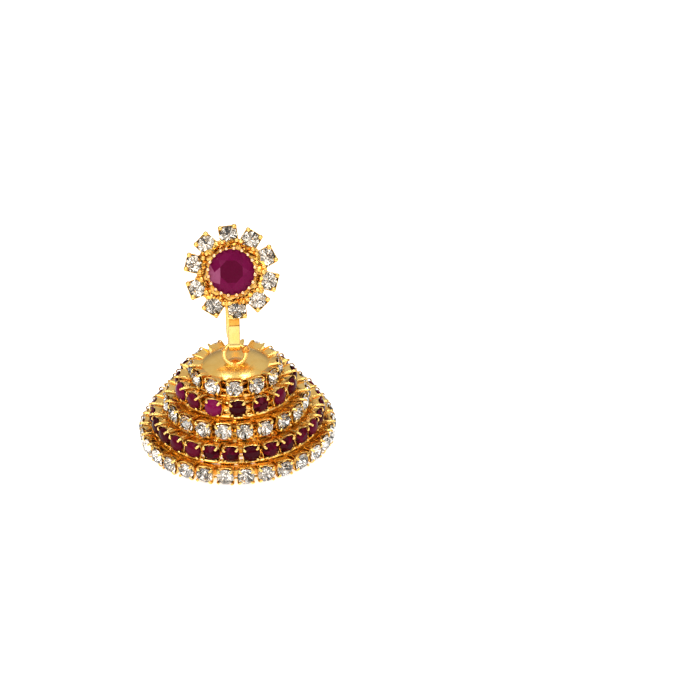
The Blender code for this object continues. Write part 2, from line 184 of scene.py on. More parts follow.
# Wires under a ring's faces: one, and a second one behind it where the first is thick
THICK_WIRE = 0.3
WIRE_OUT = 0.05
WIRE_WAVE = 0.02
SECOND_WIRE_WAVE = 0.03
WIRE_TUCK_THICK = 0.1
WIRE_TUCK_THIN = 0.12
SECOND_WIRE_IN = 0.2
SECOND_WIRE_DOWN = 0.02
SECOND_WIRE_SHARE = 0.4
# Solder lumps that close the second ring's wire, as turns from the front and sizes
SOLDER_LUMPS = ((-0.03, 0.3), (0.03, 0.36), (0.08, 0.24))
SOLDER_OUT = 0.14
SOLDER_BELOW = 0.1
SOLDER_UP_PLAY = (-0.08, 0.04)
SOLDER_SQUASH = 0.75
# Two stones of the second ring are domed and stand proud
DOMED = {("tier_2_ruby", 12), ("tier_2_ruby", 14)}

# Cap, eye and hook
CAP_TOP = -1.875
CAP_RADIUS = 4.4
CAP_RISE = 0.85
CAP_CURVE = 3.0
CAP_EDGE = 0.06
CAP_LIP = 0.03
CAP_BOSS = 3.23
CAP_BOSS_DEPTH = 0.4
CAP_BOSS_EDGE = 0.05
EYE_RADIUS = 1.34
EYE_WIRE = 0.54
EYE_LEAN = math.radians(42)
# Solder at the eye: a bead at its right, a smaller one at its left and the puddle below it
SolderBead = namedtuple("SolderBead", "place radius rings sides squash")
EYE_SOLDER = (
    SolderBead((1.36, -0.56, -0.6), 0.52, 12, 20, 0.95),
    SolderBead((-1.3, -0.5, -0.62), 0.34, 10, 16, 1.2),
    SolderBead((0.0, -1.15, -1.95), 1.05, 12, 24, 0.3),
)
HOOK_CENTRE = Vector((0.0, -8.85, 1.6049))
HOOK_INNER = 0.6299
STRIP_THICKNESS = 0.25
STRIP_HALF = 0.72
STRIP_BACK_LEFT = 1.0
STRIP_BACK_RIGHT = 0.75
STRIP_ROUNDING = 0.08
HOOK_FRONT_LEG = 2.15
STRIP_TOP = -3.2
# How many stations along the strip the back leg takes to narrow, and where its deep
# colour starts and ends. That deep colour is painted shade, on the back leg above the
# front leg's free end, where the flower and the front leg shade it.
STRIP_NARROWS = 10
SHADE_FROM_EDGE = 0.1
SHADE_BELOW_END = 0.1
# How far the painted dark shadow line reaches above the front leg's free end
SHADOW_GAP_BAND = 0.12

# Flower
PLATE_RADIUS = 4.4
PLATE_BACK = 0.6
PLATE_FRONT = 1.1
PLATE_EDGE = 0.08
PLATE_SINK = 0.1
PETAL_CIRCLE = 4.68
PETAL_HALF = 1.17
PETAL_BACK_HALF = 0.85
PETAL_SEAT = 0.14
CUP_FRONT = 2.7
# A petal's prong, as places out from the cup's middle and above its rim
PRONG_STEM = ((1.1, -1.4), (1.3, -0.5), (1.38, 0.0), (1.3, 0.3))
PRONG_RADII = [0.14, 0.2, 0.23, 0.24]
PRONG_BALL = 0.33
PRONG_BALL_OUT = 1.25
PRONG_BALL_ABOVE = 0.36
PRONG_BALL_PLAY = 0.03
PRONG_BALL_SPREAD = (0.92, 1.06)
# Centre stone: its girdle's height before the stud's back, and its turn
GIRDLE_FRONT = 3.3
CENTRE_TWIST = math.radians(22.5)
# Shades of the centre stone's front facets, all painted light: the table (painted shade),
# the slopes (lighter) and the palest one (a painted reflection of a softbox)
TABLE_SHADE = 0.0
SLOPE_SHADES = (0.3, 0.55)
REFLECTION_SHADE = 0.85
PALE_FROM = math.radians(135)
PALE_TO = math.radians(180)
PALE_OUT = 1.2
TABLE_MIDDLE = 0.2
# The centre stone's cup, as places out from the axis and above its rim
BEZEL_RIM = GIRDLE_FRONT - 0.22
BEZEL_BASE = (2.44, PLATE_FRONT - 0.2)
BEZEL_PROFILE = ((2.98, -0.05), (2.93, 0.0), (2.87, 0.0), (2.83, -0.04), (2.4, -0.6))
# Claws round the centre stone, as places out from the axis and above its girdle
BEAD_RADIUS = 0.26
BEAD_CIRCLE = 2.9
BEAD_RISE = 0.3
BEAD_STEM = ((2.9, -1.1), (3.04, -0.4), (3.08, 0.0), (3.0, 0.22))
BEAD_STEM_RADII = [0.13, 0.16, 0.16, 0.15]
BEADS = 20
BEAD_SPREAD = (0.9, 1.06)
BEAD_TURN_PLAY = 0.03
BEAD_UP_PLAY = (-0.02, 0.04)
# Nuggets of solder from petal to petal
NUGGETS = 8
NUGGET_CIRCLE = 3.42
NUGGET_TURN_PLAY = 0.04
NUGGET_SPIN = 3.1
NUGGET_OUT_PLAY = 0.12
NUGGET_FILLS_OUT = (0.1, 1.0)
NUGGET_HEIGHTS = (2.6, 3.05)
NUGGET_RADII = (0.34, 0.5)
NUGGET_SHAPE = (1, 0.6, 1.3, 1)
NUGGET_FOOT_RADII = [0.2, 0.14]
# Petals, by their turn clockwise from the top and their own twist, in degrees
Petal = namedtuple("Petal", "angle twist")
PETALS = (
    Petal(-3, -4),
    Petal(32, 2),
    Petal(68, -5),
    Petal(105, 2),
    Petal(139, -3),
    Petal(174, 3),
    Petal(210, 4),
    Petal(247, 5),
    Petal(285, 0),
    Petal(320, -6),
)

# Shades of the stones and foils, from the deepest facets to the palest. On cut stones each
# facet's shade is a painted reflection, dark or pale as the studio a real facet mirrors,
# and the clear foil's warm tones are a painted reflection of the gold cups. A domed stone
# takes one shade, its own tone.
RUBY_SHADES = [
    (0.1, (0.026, 0.0003, 0.003)),
    (0.7, (0.064, 0.0006, 0.008)),
    (1.0, (0.11, 0.0015, 0.018)),
]
MAGENTA_SHADES = [(0.0, (0.11, 0.001, 0.027)), (1.0, (0.18, 0.002, 0.05))]
# The centre stone's deepest stops are its table's painted shade, its palest a painted reflection
CENTRE_SHADES = [
    (0.15, (0.085, 0.0003, 0.019)),
    (0.5, (0.13, 0.002, 0.038)),
    (0.75, (0.16, 0.006, 0.052)),
    (1.0, (0.30, 0.07, 0.15)),
]
CLEAR_FOIL = [(0.1, (0.04, 0.03, 0.02)), (0.24, (0.60, 0.51, 0.41)), (0.5, (0.98, 0.95, 0.90))]
RUBY_FOIL = [(0.2, (0.05, 0.01, 0.02)), (0.55, (0.2, 0.03, 0.07)), (0.9, (0.4, 0.08, 0.18))]
CENTRE_FOIL = [(0.2, (0.15, 0.02, 0.08)), (0.6, (0.25, 0.04, 0.12)), (0.95, (0.4, 0.08, 0.22))]

# The usual range of a noise pattern's values
NOISE_LOW = 0.3
NOISE_HIGH = 0.7
# Patches in the gold's colour and polish, by size, and where the colour turns
PATCH_SIZE = 1.6
POLISH_SIZE = 0.5
PATCH_DEEP = 0.34
PATCH_LIGHT = 0.62
GRAIN_STRENGTH = 0.5
# Glass: index of refraction, polish and the cloudiness of the red stones
CLEAR_INDEX = 1.58
RED_INDEX = 1.55
CLEAR_ROUGH = 0.035
RED_CLOUD = 0.3
RED_THROUGH = 0.02
# Grains of the gold: size, depth and stretch
Grain = namedtuple("Grain", "size depth stretch")
SMOOTH = Grain(2.2, 0.05, (1, 1, 1))
FINE = Grain(0.35, 0.02, (1, 1, 1))
DRAWN = Grain(0.25, 0.012, (1, 0.15, 0.15))
LUMPY = Grain(0.4, 0.04, (1, 1, 1))
# Golds: name, light and deep colours, range of roughness and grain
Gold = namedtuple("Gold", "name light deep rough grain")
GOLDS = {
    "polish": Gold("gold_polished", (0.95, 0.63, 0.19), (0.91, 0.55, 0.13), (0.2, 0.25), SMOOTH),
    "cups": Gold("gold_cups", (0.95, 0.64, 0.20), (0.86, 0.49, 0.12), (0.13, 0.28), FINE),
    "pale": Gold("gold_pale", (0.97, 0.69, 0.26), (0.88, 0.54, 0.16), (0.13, 0.26), FINE),
    "beads": Gold("gold_beads", (0.98, 0.66, 0.36), (0.90, 0.50, 0.24), (0.12, 0.22), FINE),
    "strip": Gold("gold_strip", (0.98, 0.69, 0.24), (0.95, 0.61, 0.17), (0.2, 0.28), DRAWN),
    # Darker gold: painted shade on the hook's back leg and in the centre stone's cup
    "deep": Gold("gold_painted_shade", (0.85, 0.44, 0.08), (0.72, 0.32, 0.04), (0.22, 0.34), DRAWN),
    "nuggets": Gold("gold_nuggets", (0.93, 0.56, 0.13), (0.68, 0.31, 0.04), (0.12, 0.24), FINE),
    # Near-black gold: a painted shadow line on the hook, in the gap behind the front leg's end
    "shadow_gap_line": Gold("gold_painted_shadow_gap", (0.16, 0.06, 0.015), (0.08, 0.03, 0.01), (0.3, 0.5), DRAWN),
    "solder": Gold("gold_solder", (0.88, 0.44, 0.10), (0.70, 0.27, 0.04), (0.2, 0.34), LUMPY),
}

# Lights: turn from the front and rise in degrees, size, radiance and colour
LIGHT_TARGET = Vector((0, -5, -11))
LIGHT_DISTANCE = 420
Softbox = namedtuple("Softbox", "name turn rise size radiance color")
WARM = (1.0, 0.98, 0.95)
LIGHTS = (
    Softbox("key_box", -42, 46, (230, 260), 2.3, WARM),
    Softbox("fill_box", 46, 40, (180, 240), 1.9, (1.0, 0.98, 0.96)),
    Softbox("left_back_box", 128, 74, (56, 50), 15.0, (1.0, 1.0, 1.0)),
    Softbox("right_back_box", -128, 74, (52, 46), 15.0, (1.0, 1.0, 1.0)),
    Softbox("left_front_box", -24, 16, (50, 70), 7.0, WARM),
    Softbox("right_front_box", 22, 24, (45, 60), 7.0, WARM),
    Softbox("front_card", -4, 30, (150, 120), 0.96, (1.0, 0.99, 0.97)),
    Softbox("left_spark", -14, 62, (34, 34), 34.0, WARM),
    Softbox("right_spark", 24, 66, (30, 30), 30.0, WARM),
)
# The studio's own light, from below the horizon to overhead
WORLD_STRENGTH = 0.82
WORLD_SHADES = [
    (0.0, (0.30, 0.29, 0.28)),
    (0.1, (0.34, 0.33, 0.32)),
    (0.42, (0.84, 0.82, 0.79)),
    (0.9, (0.92, 0.92, 0.93)),
]
FLOOR_SHADES = [(0.3, (0.90, 0.90, 0.90)), (0.7, (0.93, 0.93, 0.93))]
FLOOR_GLOW = 0.66
FLOOR_HALF_SIZE = 1600
FLOOR_GRAIN = 60


# Nodes and materials


def link(output, socket):
    socket.id_data.links.new(output, socket)


def new_material(name):
    material = bpy.data.materials.new(name)
    material.use_nodes = True
    return material, material.node_tree.nodes, material.node_tree.nodes["Principled BSDF"]


def noise(nodes, size, detail, stretch=(1, 1, 1)):
    """A noise pattern whose features are about size millimetres across."""
    place = nodes.new("ShaderNodeTexCoord")
    mapping = nodes.new("ShaderNodeMapping")
    mapping.inputs["Scale"].default_value = stretch
    pattern = nodes.new("ShaderNodeTexNoise")
    pattern.inputs["Scale"].default_value = 1 / (size * MM)
    pattern.inputs["Detail"].default_value = detail
    link(place.outputs["Object"], mapping.inputs["Vector"])
    link(mapping.outputs["Vector"], pattern.inputs["Vector"])
    return pattern.outputs["Fac"]


def ramp(nodes, value, stops):
    """Turns a value into colours; stops are (place, colour) pairs."""
    node = nodes.new("ShaderNodeValToRGB")
    elements = node.color_ramp.elements
    while len(elements) < len(stops):
        elements.new(0.5)
    for element, (place, color) in zip(elements, stops):
        element.position = place
        element.color = (*color, 1.0)
    link(value, node.inputs["Fac"])
    return node.outputs["Color"]


def map_range(nodes, value, low, high):
    """Spreads a noise pattern's values from low to high."""
    node = nodes.new("ShaderNodeMapRange")
    node.inputs["From Min"].default_value = NOISE_LOW
    node.inputs["From Max"].default_value = NOISE_HIGH
    node.inputs["To Min"].default_value = low
    node.inputs["To Max"].default_value = high
    link(value, node.inputs["Value"])
    return node.outputs["Result"]


def add_bump(nodes, shader, value, distance, strength):
    """Roughens a surface by a pattern; distance is in millimetres."""
    bump = nodes.new("ShaderNodeBump")
    bump.inputs["Distance"].default_value = distance * MM
    bump.inputs["Strength"].default_value = strength
    link(value, bump.inputs["Height"])
    link(bump.outputs["Normal"], shader.inputs["Normal"])


def gold(kind):
    """Warm plated gold: patchy colour and polish, with a fine hammered or drawn grain."""
    material, nodes, shader = new_material(kind.name)
    shader.inputs["Metallic"].default_value = 1.0
    stops = [(PATCH_DEEP, kind.deep), (PATCH_LIGHT, kind.light)]
    link(ramp(nodes, noise(nodes, PATCH_SIZE, 3), stops), shader.inputs["Base Color"])
    polish = map_range(nodes, noise(nodes, POLISH_SIZE, 4), *kind.rough)
    link(polish, shader.inputs["Roughness"])
    grain = noise(nodes, kind.grain.size, 3, kind.grain.stretch)
    add_bump(nodes, shader, grain, kind.grain.depth, GRAIN_STRENGTH)
    return material


def stone_front(name, color):
    """The polished front facets of a stone, which light goes in and out through."""
    material, nodes, shader = new_material(name)
    shader.inputs["Transmission Weight"].default_value = 1.0
    shader.inputs["Base Color"].default_value = (*color, 1.0)
    shader.inputs["IOR"].default_value = CLEAR_INDEX
    link(map_range(nodes, noise(nodes, 0.25, 3), 0.0, CLEAR_ROUGH), shader.inputs["Roughness"])
    return material


def deep_stone(name, stops, rough, gloss):
    """A dark red stone, mostly opaque with its foil. Each cut facet is painted lighter or
    darker as a painted reflection; each dome has one shade, its own tone.
    """
    material, nodes, shader = new_material(name)
    facet = nodes.new("ShaderNodeAttribute")
    facet.attribute_name = "facet"
    cloud = nodes.new("ShaderNodeMath")
    cloud.operation = "MULTIPLY_ADD"
    cloud.inputs[1].default_value = RED_CLOUD
    link(noise(nodes, 0.7, 3), cloud.inputs[0])
    link(facet.outputs["Fac"], cloud.inputs[2])
    link(ramp(nodes, cloud.outputs["Value"], stops), shader.inputs["Base Color"])
    shader.inputs["Transmission Weight"].default_value = RED_THROUGH
    shader.inputs["IOR"].default_value = RED_INDEX
    shader.inputs["Specular IOR Level"].default_value = gloss
    link(map_range(nodes, noise(nodes, 0.4, 3), *rough), shader.inputs["Roughness"])
    return material


def stone_foil(name, stops, rough):
    """The foil behind a stone, which is seen through it. Each facet is painted its own shade,
    from near black to pale, as a painted reflection of a dark and bright studio; a dome's
    back takes the dome's one shade.
    """
    material, nodes, shader = new_material(name)
    shader.inputs["Metallic"].default_value = 1.0
    facet = nodes.new("ShaderNodeAttribute")
    facet.attribute_name = "facet"
    link(ramp(nodes, facet.outputs["Fac"], stops), shader.inputs["Base Color"])
    link(map_range(nodes, noise(nodes, 0.3, 2), rough, rough * 2), shader.inputs["Roughness"])
    return material


def make_materials():
    """Every material, by a short name."""
    paint = {name: gold(kind) for name, kind in GOLDS.items()}
    paint["clear"] = stone_front("stone_clear", (0.99, 0.98, 0.97))
    paint["ruby"] = deep_stone("stone_ruby", RUBY_SHADES, (0.03, 0.1), 0.05)
    paint["magenta"] = deep_stone("stone_magenta", MAGENTA_SHADES, (0.05, 0.12), 0.08)
    paint["centre"] = deep_stone("stone_centre", CENTRE_SHADES, (0.05, 0.12), 0.03)
    paint["clear_foil"] = stone_foil("foil_clear", CLEAR_FOIL, 0.03)
    paint["ruby_foil"] = stone_foil("foil_ruby", RUBY_FOIL, 0.06)
    paint["centre_foil"] = stone_foil("foil_centre", CENTRE_FOIL, 0.08)
    return paint


# Pieces and plain shapes


def add_piece(name, shape, materials, body, replaced, flat=False):
    """Makes a piece of a shape in millimetres, riding on a body."""
    bmesh.ops.recalc_face_normals(shape, faces=shape.faces)
    bmesh.ops.scale(shape, vec=(MM, MM, MM), verts=shape.verts)
    mesh = bpy.data.meshes.new(name)
    for face in shape.faces:
        face.smooth = not flat
    shape.to_mesh(mesh)
    shape.free()
    if not flat:
        mesh.set_sharp_from_angle(angle=math.radians(CREASE))
    for material in materials:
        mesh.materials.append(material)
    piece = bpy.data.objects.new(name, mesh)
    bpy.context.scene.collection.objects.link(piece)
    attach(piece, body)
    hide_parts(*replaced)


def loft(shape, rings, close_first=True, loop=False):
    """Joins rings of points into a skin, with a flat face over its last end and its first."""
    rows = [[shape.verts.new(point) for point in ring] for ring in rings]
    pairs = list(zip(rows, rows[1:]))
    if loop:
        pairs.append((rows[-1], rows[0]))
    for low, high in pairs:
        for index in range(len(low)):
            after = (index + 1) % len(low)
            shape.faces.new((low[index], low[after], high[after], high[index]))
    if close_first and not loop:
        shape.faces.new(rows[0])
    if not loop:
        shape.faces.new(rows[-1])
    return rows


def place(matrix, rings):
    """Rings of points moved by a matrix."""
    return [[matrix @ Vector(point) for point in ring] for ring in rings]


def turns_of(count, start=0.0):
    """Even turns round a circle."""
    return [start + 2 * math.pi * index / count for index in range(count)]


def outward_of(turn):
    """The way out from the bell's axis at a turn from its front."""
    return Vector((math.sin(turn), -math.cos(turn), 0))


def turned_rings(matrix, profile, around):
    """Rings of points round an upright axis, from their distances out and heights."""
    rings = []
    for out, up in profile:
        ring = [Vector((out * math.cos(t), out * math.sin(t), up)) for t in turns_of(around)]
        rings.append([matrix @ point for point in ring])
    return rings


def rounded_square(half, corner, above, scallop, wide):
    """A ring of points round a square with rounded corners, its sides dipping by scallop.
    wide stretches it sideways."""
    steps = 4
    points = []
    stretch = Matrix.Diagonal((wide, 1, 1))
    for quarter in range(4):
        turn = Matrix.Rotation(math.pi / 2 * quarter, 3, "Z")
        for step in range(steps + 1):
            angle = math.pi / 2 * step / steps
            across = half - corner + corner * math.cos(angle)
            along = half - corner + corner * math.sin(angle)
            points.append(stretch @ turn @ Vector((across, along, above)))
        for share in (0.5, 0.0, -0.5):
            reach = share * (half - corner)
            dip = scallop * (1 - share * share)
            points.append(stretch @ turn @ Vector((reach, half, above - dip)))
    return points


def tube(shape, centres, radius, sides, loop):
    """A round tube along points, of one radius or a list of them."""
    count = len(centres)
    rings = []
    across = None
    for index, centre in enumerate(centres):
        before = centres[index - 1] if loop or index else centre
        after = centres[(index + 1) % count] if loop or index < count - 1 else centre
        along = (after - before).normalized()
        if across is None:
            across = along.orthogonal().normalized()
        across = (across - along * across.dot(along)).normalized()
        other = along.cross(across)
        reach = radius[index] if isinstance(radius, list) else radius
        ring = []
        for turn in turns_of(sides):
            ring.append(centre + across * reach * math.cos(turn) + other * reach * math.sin(turn))
        rings.append(ring)
    loft(shape, rings, loop=loop)


def ball(shape, centre, radius, rings=8, sides=14, squash=1.0, matrix=Matrix()):
    """A round bead, flattened along its own Z by squash."""
    bmesh.ops.create_uvsphere(
        shape,
        u_segments=sides,
        v_segments=rings,
        radius=radius,
        matrix=matrix @ Matrix.Translation(centre) @ Matrix.Diagonal((1, 1, squash, 1)),
    )


# Cups, claws and stones


def cup_skin(shape, matrix, half, back_half, back_wide):
    """A square sheet cup with rounded corners, open at its front and wider than high behind."""

    def section(share, trim, corner, above, scallop=0.0):
        """A ring round the cup, share of the way from its front to its back."""
        high = half + (back_half - half) * share
        wide = half + (back_wide - half) * share
        stretch = (wide - trim) / (high - trim)
        return rounded_square(high - trim, corner, above, scallop, stretch)

    rings = [
        section(1.0, CUP_EDGE, 0.14, -CUP_DEPTH),
        section(1.0, 0.0, 0.16, -CUP_DEPTH + CUP_EDGE),
        section(0.5, 0.0, 0.2, -CUP_DEPTH / 2),
        section(0.0, 0.0, 0.24, -CUP_EDGE, CUP_SCALLOP),
        section(0.0, CUP_EDGE, 0.22, 0.0, CUP_SCALLOP),
        section(0.0, CUP_WALL - CUP_EDGE / 2, 0.18, 0.0, CUP_SCALLOP),
        section(0.0, CUP_WALL, 0.16, -CUP_EDGE, CUP_SCALLOP),
        section(0.5, CUP_WALL, 0.14, -CUP_DEPTH / 2),
    ]
    loft(shape, place(matrix, rings))


def corner_turn(quarter):
    """The turn to a square cup's corner."""
    return math.pi / 4 + math.pi / 2 * quarter


def claw(shape, matrix, diagonal, spread, lift, proud):
    """One claw at a corner. proud is 0 where it lies on the stone and 1 where it stands up."""
    outward = Vector((math.cos(diagonal), math.sin(diagonal), 0))
    sideways = Vector((-outward.y, outward.x, 0))
    path = []
    for row in CLAW:
        raised = row.above > 0
        stand = proud * (PROUD_OUT - row.out)
        out = row.out + spread + stand * PROUD_MOVES_OUT * raised
        above = row.above + (lift + stand * PROUD_MOVES_UP) * raised
        path.append(Vector((out, above)))
    rings = []
    for index, row in enumerate(CLAW):
        before = path[max(index - 1, 0)]
        after = path[min(index + 1, len(path) - 1)]
        along = (after - before).normalized()
        normal = outward * -along.y + Vector((0, 0, along.x))
        centre = outward * path[index].x + Vector((0, 0, path[index].y))
        ring = []
        for angle in turns_of(CLAW_SIDES):
            across = sideways * row.width * math.cos(angle)
            ring.append(centre + across + normal * row.thickness * math.sin(angle))
        rings.append(ring)
    loft(shape, place(matrix, rings))


def cup_with_claws(shape, matrix, back_wide, lift, dice):
    """A chain cup with its four claws bent over the stone, a few standing a little proud."""
    cup_skin(shape, matrix, CUP_HALF, CUP_BACK_HALF, back_wide)
    for quarter in range(4):
        diagonal = corner_turn(quarter) + dice.uniform(-CLAW_TURN_PLAY, CLAW_TURN_PLAY)
        proud = dice.uniform(*(PROUD_BY if dice.random() < PROUD_CLAW_SHARE else LEVEL_BY))
        spread = dice.uniform(*CLAW_PLAY)
        claw(shape, matrix, diagonal, spread, lift + dice.uniform(*CLAW_PLAY), proud)


def tone_and_glint_layer(shape):
    """The layer that holds each facet's painted reflection shade, or a dome's own tone."""
    return shape.faces.layers.float.get("facet") or shape.faces.layers.float.new("facet")


def brilliant(shape, matrix, cut, dice):
    """A round brilliant, its girdle's top at zero. Faces get material 0 in front, 1 behind,
    and a random facet value that paints each one lighter or darker as a painted reflection."""
    facet = tone_and_glint_layer(shape)

    def ring(count, out, above, half_step):
        turns = turns_of(count, 2 * math.pi * half_step / count)
        places = [Vector((out * math.cos(t), out * math.sin(t), above)) for t in turns]
        return [shape.verts.new(matrix @ spot) for spot in places]

    def face(verts, behind):
        made = shape.faces.new(verts)
        made.material_index = 1 if behind else 0
        # A random value paints this facet lighter or darker, a painted reflection
        made[facet] = dice.random()

    radius = cut.radius
    top = radius * cut.table
    star = top + (radius - top) * STAR_SHARE
    star_above = cut.crown * (radius - star * math.cos(math.pi / 8)) / (radius - top)

    def under_above(out):
        """The height of the cone behind, at a distance from its axis."""
        return -cut.girdle - cut.pavilion * (radius - out) / radius

    low = radius * LOWER_SHARE
    inner = radius * cut.floor
    table_ring = ring(8, top, cut.crown, 0)
    stars = ring(8, star, star_above, 0.5)
    rim = ring(16, radius, 0, 0)
    under = ring(16, radius, -cut.girdle, 0)
    lows = ring(8, low, under_above(low) + LOWER_BEND * radius, 0.5)
    inners = ring(8, inner, under_above(inner) - LOWER_BEND * radius, 0)
    culet = shape.verts.new(matrix @ Vector((0, 0, -cut.girdle - cut.pavilion)))
    face(table_ring, False)
    for index in range(8):
        after = (index + 1) % 8
        before = (index - 1) % 8
        main, middle, following = rim[2 * index], rim[2 * index + 1], rim[2 * after]
        face((table_ring[index], stars[index], table_ring[after]), False)
        face((table_ring[index], stars[before], main, stars[index]), False)
        face((stars[index], main, middle), False)
        face((stars[index], middle, following), False)
        below, between, beyond = under[2 * index], under[2 * index + 1], under[2 * after]
        face((main, below, between, middle), True)
        face((middle, between, beyond, following), True)
        face((below, lows[index], between), True)
        face((between, lows[index], beyond), True)
        face((below, lows[before], inners[index]), True)
        face((below, inners[index], lows[index]), True)
        face((lows[index], inners[index], culet), True)
        face((lows[index], culet, inners[after]), True)


def domed_stone(shape, matrix, radius, height, dice):
    """A smooth domed stone on a shallow back."""
    sides, rounds = 24, 8
    facet = tone_and_glint_layer(shape)
    rings = [[(radius * math.cos(t), radius * math.sin(t), -DOME_EDGE) for t in turns_of(sides)]]
    for step in range(rounds):
        angle = math.pi / 2 * step / rounds
        out, above = radius * math.cos(angle), height * math.sin(angle)
        rings.append([(out * math.cos(t), out * math.sin(t), above) for t in turns_of(sides)])
    shade = dice.random()
    first = len(shape.faces)
    rows = loft(shape, place(matrix, rings), close_first=False)
    shape.faces.ensure_lookup_table()
    for face in shape.faces[first:]:
        face[facet] = shade
    culet = shape.verts.new(matrix @ Vector((0, 0, -DOME_BACK)))
    for index in range(sides):
        back = shape.faces.new((rows[0][index], culet, rows[0][(index + 1) % sides]))
        back.material_index = 1
        back[facet] = shade


# The bell


def cup_places(tier, dice):
    """A matrix for each cup of a ring, its face outwards, each a little out of true."""
    upright = Matrix(((1, 0, 0, 0), (0, 0, -1, 0), (0, 1, 0, 0), (0, 0, 0, 1)))
    for index in range(tier.count):
        turn = 2 * math.pi * (index + tier.phase) / tier.count
        turn += dice.uniform(-CUP_TURN_PLAY, CUP_TURN_PLAY)
        lean = Matrix.Rotation(dice.uniform(-CUP_LEAN_PLAY, CUP_LEAN_PLAY), 4, "X")
        roll = Matrix.Rotation(dice.uniform(-CUP_ROLL_PLAY, CUP_ROLL_PLAY), 4, "Z")
        yaw = Matrix.Rotation(dice.uniform(-CUP_YAW_PLAY, CUP_YAW_PLAY), 4, "Y")
        out = tier.radius + dice.uniform(*CUP_OUT_PLAY)
        height = tier.height + dice.uniform(-CUP_UP_PLAY, CUP_UP_PLAY)
        on_axis = Matrix.Translation((HINGE.x, HINGE.y, height))
        facing = Matrix.Rotation(turn, 4, "Z") @ Matrix.Translation((0, -out, 0)) @ upright
        yield on_axis @ facing @ lean @ yaw @ roll


def stone_place(matrix, dice, above):
    """A stone's own matrix in its cup, turned and tipped a little."""
    tip = Matrix.Rotation(dice.uniform(-STONE_TIP, STONE_TIP), 4, "X")
    tip = tip @ Matrix.Rotation(dice.uniform(-STONE_TIP, STONE_TIP), 4, "Y")
    spin = Matrix.Rotation(dice.uniform(0, STONE_SPIN), 4, "Z")
    return matrix @ Matrix.Translation((0, 0, above)) @ tip @ spin


def build_tier(tier, lower, paint, dice):
    """One ring of the bell: its cups, stones, link band and support wire."""
    cups, stones, domes, magenta = bmesh.new(), bmesh.new(), bmesh.new(), bmesh.new()
    ruby = tier.stone == "ruby"
    lift = RUBY_CLAW_LIFT if ruby else 0.0
    back_wide = math.pi * (tier.radius - CUP_DEPTH) / tier.count - CUP_SIDE_GAP
    for index, matrix in enumerate(cup_places(tier, dice)):
        cup_with_claws(cups, matrix, min(CUP_BACK_WIDE, back_wide), lift, dice)
        seat = stone_place(matrix, dice, RUBY_SEAT if ruby else STONE_SEAT)
        if (tier.name, index) in DOMED:
            wider, higher = RUBY_CUT.radius * BIG_DOME_WIDER, RUBY_DOME * BIG_DOME_HIGHER
            domed_stone(magenta, seat, wider, higher, dice)
        elif ruby and dice.random() > RUBY_CUT_SHARE:
            height = RUBY_DOME * dice.uniform(*DOME_SPREAD)
            domed_stone(domes, seat, RUBY_CUT.radius, height, dice)
        else:
            brilliant(stones, seat, RUBY_CUT if ruby else CLEAR_CUT, dice)
    add_piece(tier.name + "_cups", cups, [paint["cups"]], "bell", [tier.name])
    foil = paint[tier.stone + "_foil"]
    finish = [paint[tier.stone], foil]
    add_piece(tier.name + "_stones", stones, finish, "bell", [tier.name], True)
    if domes.verts:
        add_piece(tier.name + "_domes", domes, finish, "bell", [tier.name])
    if magenta.verts:
        finish = [paint["magenta"], foil]
        add_piece(tier.name + "_magenta", magenta, finish, "bell", [tier.name])
    build_ring_metal(tier, lower, paint, dice)


def level_band(metal, outline, axis, start=0.0, end=2 * math.pi):
    """A band round the bell's axis between two turns. Its outline is distances out and
    heights."""
    steps = round(ROUND_STEPS * (end - start) / (2 * math.pi))
    closed = end - start >= 2 * math.pi
    rings = []
    for step in range(steps + (0 if closed else 1)):
        outward = outward_of(start + (end - start) * step / steps)
        rings.append([axis + outward * out + Vector((0, 0, up)) for out, up in outline])
    loft(metal, rings, loop=closed)


def build_step(metal, tier, lower, axis):
    """The apron behind a ring, which slopes down to the next ring's back, and the skirt
    close behind its faces, which ends on the next ring's cups."""
    knee_out = tier.radius - CUP_DEPTH
    knee = tier.height + BAND_LOW * 0.5
    foot_out = lower.radius - CUP_DEPTH + APRON_LAP
    foot_top = lower.height + CUP_BACK_HALF
    foot_low = foot_top - 2 * APRON_EDGE
    apron = [(knee_out, knee), (knee_out + BAND_THICK, knee)]
    apron += [(foot_out, foot_top), (foot_out, foot_low)]
    opened = tier.name == OPEN_APRON
    start, end = (OPEN_TO, 2 * math.pi + OPEN_FROM) if opened else (0.0, 2 * math.pi)
    level_band(metal, apron, axis, start, end)
    outer = tier.radius - SKIRT_BEHIND
    inner = outer - SKIRT_THICK
    top = tier.height - CUP_HALF + SKIRT_LAP
    slope = (CUP_HALF - CUP_BACK_HALF) / CUP_DEPTH
    bottom = lower.height + CUP_HALF - slope * (lower.radius - outer) - SKIRT_SINK
    level_band(metal, [(outer, top), (outer, bottom), (inner, bottom), (inner, top)], axis)


